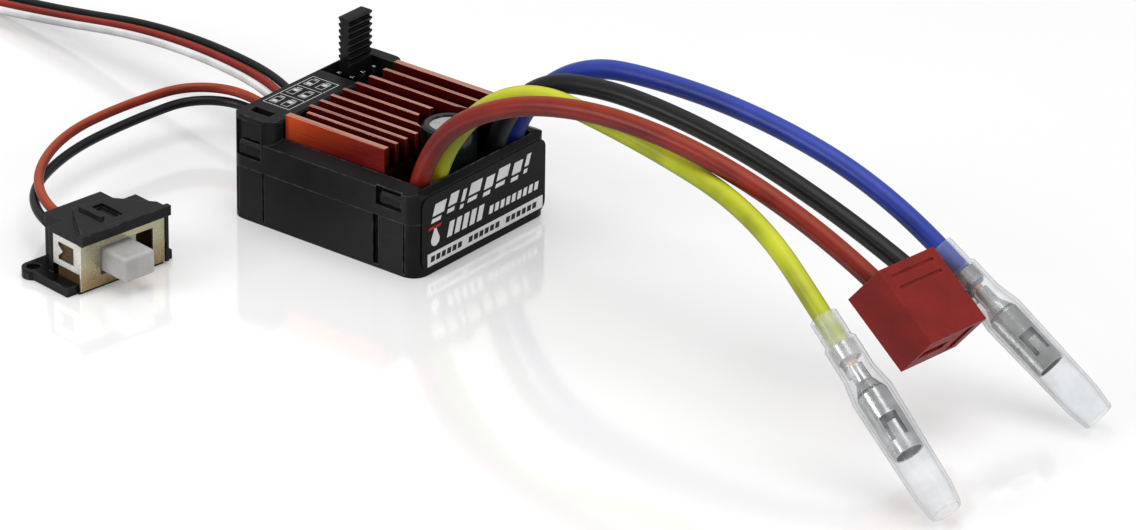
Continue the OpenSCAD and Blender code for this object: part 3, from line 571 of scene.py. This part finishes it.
def case_end(node, outer_r):
    """Middle of a wire's end inside the case, and the way into the wire from there.

    A power wire stands on the board, so that end is its lowest. A thin lead
    runs back out of the case, so that end is its foremost.
    """
    points = [v.co.copy() for v in nodes[node].data.vertices]
    if node in POWER_WIRES:
        tip = min(points, key=lambda p: p.z)
        inward = Vector((0, 0, 1))
        depth = 0.01 * MM
    else:
        tip = max(points, key=lambda p: p.x)
        inward = Vector((-1, 0.45, 0)).normalized()
        depth = 0.45 * MM
    across = 2.02 * outer_r
    rim = [p for p in points if (p - tip).length < across and abs((p - tip).dot(inward)) < depth]
    return sum(rim, Vector()) / len(rim), inward


def smoothed(line):
    """The line after three rounds of averaging each inner point with its neighbours."""
    for _ in range(3):
        inner = [(line[i - 1] + 2 * line[i] + line[i + 1]) / 4 for i in range(1, len(line) - 1)]
        line = [line[0]] + inner + [line[-1]]
    return line


def tube(name, line, outer_r, inner_r, material):
    """Sweeps a tube along a line. At each end its wall turns in and lines the bore a little way."""
    sides = 28
    lip = 1.5 * MM
    headings = [(b - a).normalized() for a, b in zip(line, line[1:])]
    headings.append(headings[-1])
    side = headings[0].orthogonal().normalized()
    rings = []
    for i, (centre, heading) in enumerate(zip(line, headings)):
        side = (side - side.dot(heading) * heading).normalized()
        if i == 0:
            rings.append((centre + lip * heading, heading, side, inner_r))
            rings.append((centre, heading, side, inner_r))
        rings.append((centre, heading, side, outer_r))
        if i == len(line) - 1:
            rings.append((centre, heading, side, inner_r))
            rings.append((centre - lip * heading, heading, side, inner_r))
    verts = []
    for centre, heading, side, radius in rings:
        other = heading.cross(side)
        for k in range(sides):
            turn = math.tau * k / sides
            verts.append(centre + radius * (math.cos(turn) * side + math.sin(turn) * other))
    faces = []
    for i in range(len(rings) - 1):
        for k in range(sides):
            a = i * sides + k
            b = i * sides + (k + 1) % sides
            faces.append((a, b, b + sides, a + sides))
    mesh = new_mesh(name, verts, faces)
    mesh.shade_smooth()
    return new_piece(name, mesh, material)


def redraw_wire(node, outer_mm, bore_mm):
    """Replaces a wire of the frame with one smooth tube on the same centre line."""
    outer_r = outer_mm / 2 * MM
    bore_r = bore_mm / 2 * MM
    fewest_steps = 10
    start, inward = case_end(node, outer_r)
    line = follow_bore(node, start, inward, bore_r)
    if len(line) < fewest_steps:
        raise RuntimeError("no bore found in " + node)
    material = wire_skin(node + "_skin", *WIRE_COLORS[node])
    piece = tube(node + "_tube", smoothed([start] + line), outer_r, bore_r, material)
    stand_for(node)


# ---------------------------------------------------------- printed markings

def slab(u0, v0, u1, v1, slant=0.0):
    """Corners of a bar whose top leans forward by slant."""
    return [(u0, v0), (u1, v0), (u1 + slant, v1), (u0 + slant, v1)]


def drop(u, v, r):
    """Outline of a water drop with its point up."""
    steps = 20
    first, sweep = -215, 250     # degrees of the round part
    outline = []
    for k in range(steps):
        turn = math.radians(first + sweep * k / (steps - 1))
        outline.append((u + r * math.cos(turn), v + r * math.sin(turn)))
    return outline + [(u, v + 2.4 * r)]


def frame_bars(u0, v0, u1, v1, line):
    """Four bars that frame a rectangle."""
    return [
        slab(u0, v0, u1, v0 + line), slab(u0, v1 - line, u1, v1),
        slab(u0, v0 + line, u0 + line, v1 - line), slab(u1 - line, v0 + line, u1, v1 - line),
    ]


def ink(name, outlines, on_label, normal, material, thick_mm=INK_MM):
    """Raised ink: each outline, in millimetres, is a thin plate on the label's plane."""
    verts = []
    faces = []
    for outline in outlines:
        first = len(verts)
        count = len(outline)
        flat = [on_label(u * MM, v * MM) for u, v in outline]
        verts += flat + [p + normal * thick_mm * MM for p in flat]
        faces.append(tuple(range(first + count, first + 2 * count)))
        for k in range(count):
            following = (k + 1) % count
            a, b = first + k, first + following
            faces.append((a, b, b + count, a + count))
    new_piece(name, new_mesh(name, verts, faces), material)


def front_marks():
    """Generic marks on the end label: slanted bars, a drop and a striped band.

    They are placed in millimetres, from the case's middle and from its foot.
    """
    node = "front_label"
    face_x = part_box(node)[1].x
    white = plain("label_white_ink", (0.82, 0.82, 0.82), 0.4, wear=0.1, spread=0.05)
    red = plain("label_red_ink", (0.55, 0.03, 0.02), 0.4, wear=0.1, spread=0.05)
    black = plain("label_black_ink", (0.02, 0.02, 0.02), 0.4, wear=0.1)

    def on_face(u, v):
        return Vector((face_x, u, v))

    def on_band(u, v):
        return Vector((face_x + INK_MM * MM, u, v))

    out = Vector((1, 0, 0))
    marks = []
    title_widths = [2.9, 2.2, 1.1, 2.9, 2.2, 2.9, 2.3, 1.2]
    gap = 0.75
    at = -12.4
    for k, width in enumerate(title_widths):
        lift = 0.35 * (k % 2)
        marks.append(slab(at, 8.3 + lift, at + 0.75 * width, 8.95 + lift, 0.25))
        marks.append(slab(at + 0.3, 9.35 + lift, at + width + 0.1, 11.2 + lift, 0.7))
        at += width + gap
    tall_pitch, short_pitch, dash_pitch = 1.75, 1.35, 1.27
    marks += [slab(-8.7 + tall_pitch * k, 4.7, -7.5 + tall_pitch * k, 7.1, 0.7) for k in range(5)]
    marks += [slab(1.2 + short_pitch * k, 4.9, 2.1 + short_pitch * k, 6.2, 0.3) for k in range(9)]
    marks += [slab(-13.2, 1.4, 14.2, 3.5), drop(-11.4, 5.4, 1.0)]
    ink("front_label_white_marks", marks, on_face, out, white)
    ink("front_label_red_mark", [slab(-13.1, 7.3, -10.2, 7.75, 0.3)], on_face, out, red)
    # Three groups of six dashes; every seventh place is the space between groups.
    dashes = [slab(-12.5 + dash_pitch * k, 2.0, -11.6 + dash_pitch * k, 2.9, 0.15)
              for k in range(21) if k % 7 != 6]
    ink("front_label_dark_marks", dashes, on_band, out, black, thick_mm=0.02)


def settings_marks():
    """Frame, dividers and plain position pictograms on the settings label.

    They are placed in millimetres from the label's middle.
    """
    node = "settings_label"
    low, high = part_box(node)
    grey = plain("settings_ink", (0.6, 0.6, 0.6), 0.5, wear=0.1, spread=0.05)
    middle = (low + high) / 2
    margin = 0.15
    half_u = (high.x - low.x) / 2 / MM - margin
    half_v = (high.y - low.y) / 2 / MM - margin

    def on_top(u, v):
        return Vector((middle.x + u, middle.y + v, high.z))

    marks = frame_bars(-half_u, -half_v, half_u, half_v, 0.14)
    marks += [slab(-half_u, 1.9, half_u, 2.02), slab(-half_u, -2.1, half_u, -1.98)]
    for row in range(3):
        for column in range(2):
            u = -1.25 + 2.3 * column
            v = -4.0 + 4.0 * row
            raised = 0.9 * ((row + column) % 2)
            marks += frame_bars(u - 0.75, v - 1.2, u + 0.65, v + 0.9, 0.12)
            marks.append(slab(u - 0.5, v - 0.9 + raised, u + 0.4, v - 0.2 + raised))
            marks.append(slab(u - 0.6, v + 1.15, u + 0.5, v + 1.35))
    ink("settings_label_marks", marks, on_top, Vector((0, 0, 1)), grey)


# -------------------------------------------------------------------- studio

def area_light(name, place, target, size, power):
    """White soft box that faces a target."""
    data = bpy.data.lights.new(name, "AREA")
    data.shape = "RECTANGLE"
    data.size, data.size_y = size
    data.energy = power
    lamp = bpy.data.objects.new(name, data)
    lamp.location = place
    lamp.rotation_euler = (Vector(target) - Vector(place)).to_track_quat("-Z", "Y").to_euler()
    bpy.context.scene.collection.objects.link(lamp)


def for_camera(tree, unseen, seen):
    """A strength that differs between what the camera sees and what lights the part."""
    path = tree.nodes.new("ShaderNodeLightPath")
    strength = tree.nodes.new("ShaderNodeMapRange")
    tree.links.new(path.outputs["Is Camera Ray"], strength.inputs["Value"])
    strength.inputs["To Min"].default_value = unseen
    strength.inputs["To Max"].default_value = seen
    return strength.outputs[0]


def studio():
    """White light table under soft boxes, in a dimmer white room."""
    world = bpy.data.worlds.new("studio")
    bpy.context.scene.world = world
    world.use_nodes = True
    backdrop = world.node_tree.nodes["Background"]
    backdrop.inputs["Color"].default_value = (1, 1, 1, 1)
    room_strength = for_camera(world.node_tree, 0.55, 1.0)
    world.node_tree.links.new(room_strength, backdrop.inputs["Strength"])

    look = Look("studio_floor")
    look.set(Base_Color=look.mix(look.noise(60), (0.8, 0.8, 0.8, 1), (0.82, 0.82, 0.82, 1)))
    look.set(Roughness=0.1, IOR=2.3, Emission_Color=(1, 1, 1, 1))
    look.set(Emission_Strength=for_camera(look.tree, 0.0, 0.2))
    reach = 3.0
    low = cad_box[0][2] - 0.01 * MM
    corners = [(-reach, -reach, low), (reach, -reach, low), (reach, reach, low),
               (-reach, reach, low)]
    floor = bpy.data.objects.new("floor", new_mesh("floor", corners, [(0, 1, 2, 3)]))
    bpy.context.scene.collection.objects.link(floor)
    paint(floor, look.material)

    middle = (0.02, -0.01, 0.01)
    area_light("top_box", (0.05, 0.0, 0.6), middle, (0.5, 0.4), 1.4)
    area_light("left_box", (-0.25, -0.5, 0.3), middle, (0.35, 0.25), 1.5)
    area_light("right_box", (0.6, 0.05, 0.3), middle, (0.35, 0.3), 0.9)


def camera():
    """Long lens, far from the part, looking down on the label end from the right."""
    heading_deg = 127.89
    down_deg = 25.98
    roll_deg = 0.88
    place = Vector((0.5573, -0.6718, 0.4168))
    heading = math.radians(heading_deg)
    down = math.radians(down_deg)
    level = math.cos(down)
    ahead = Vector((math.cos(heading) * level, math.sin(heading) * level, -math.sin(down)))
    right = ahead.cross(Vector((0, 0, 1))).normalized()
    right = Quaternion(ahead, -math.radians(roll_deg)) @ right
    up = right.cross(ahead)
    data = bpy.data.cameras.new("camera")
    data.sensor_width = 36
    data.lens = 202.25
    data.clip_start = 0.05
    eye = bpy.data.objects.new("camera", data)
    axes = Matrix((right, up, -ahead)).transposed()
    eye.matrix_world = Matrix.Translation(place) @ axes.to_4x4()
    bpy.context.scene.collection.objects.link(eye)
    bpy.context.scene.camera = eye


# --------------------------------------------------------------------- build

for node, make in FINISHES.items():
    paint(nodes[node], make(node + "_finish"))
for node, width in SOFT_EDGES.items():
    soften(nodes[node], width)
round_knob(milky_knob("switch_slider_finish"))
for node in ("yellow_receptacle", "blue_receptacle"):
    paint_latch_shade(node)
for wires, outer_mm, bore_mm in WIRE_GROUPS:
    for wire in wires:
        redraw_wire(wire, outer_mm, bore_mm)
front_marks()
settings_marks()
studio()
camera()
bpy.context.scene.view_settings.view_transform = "Standard"
bpy.context.scene.view_settings.gamma = 0.88
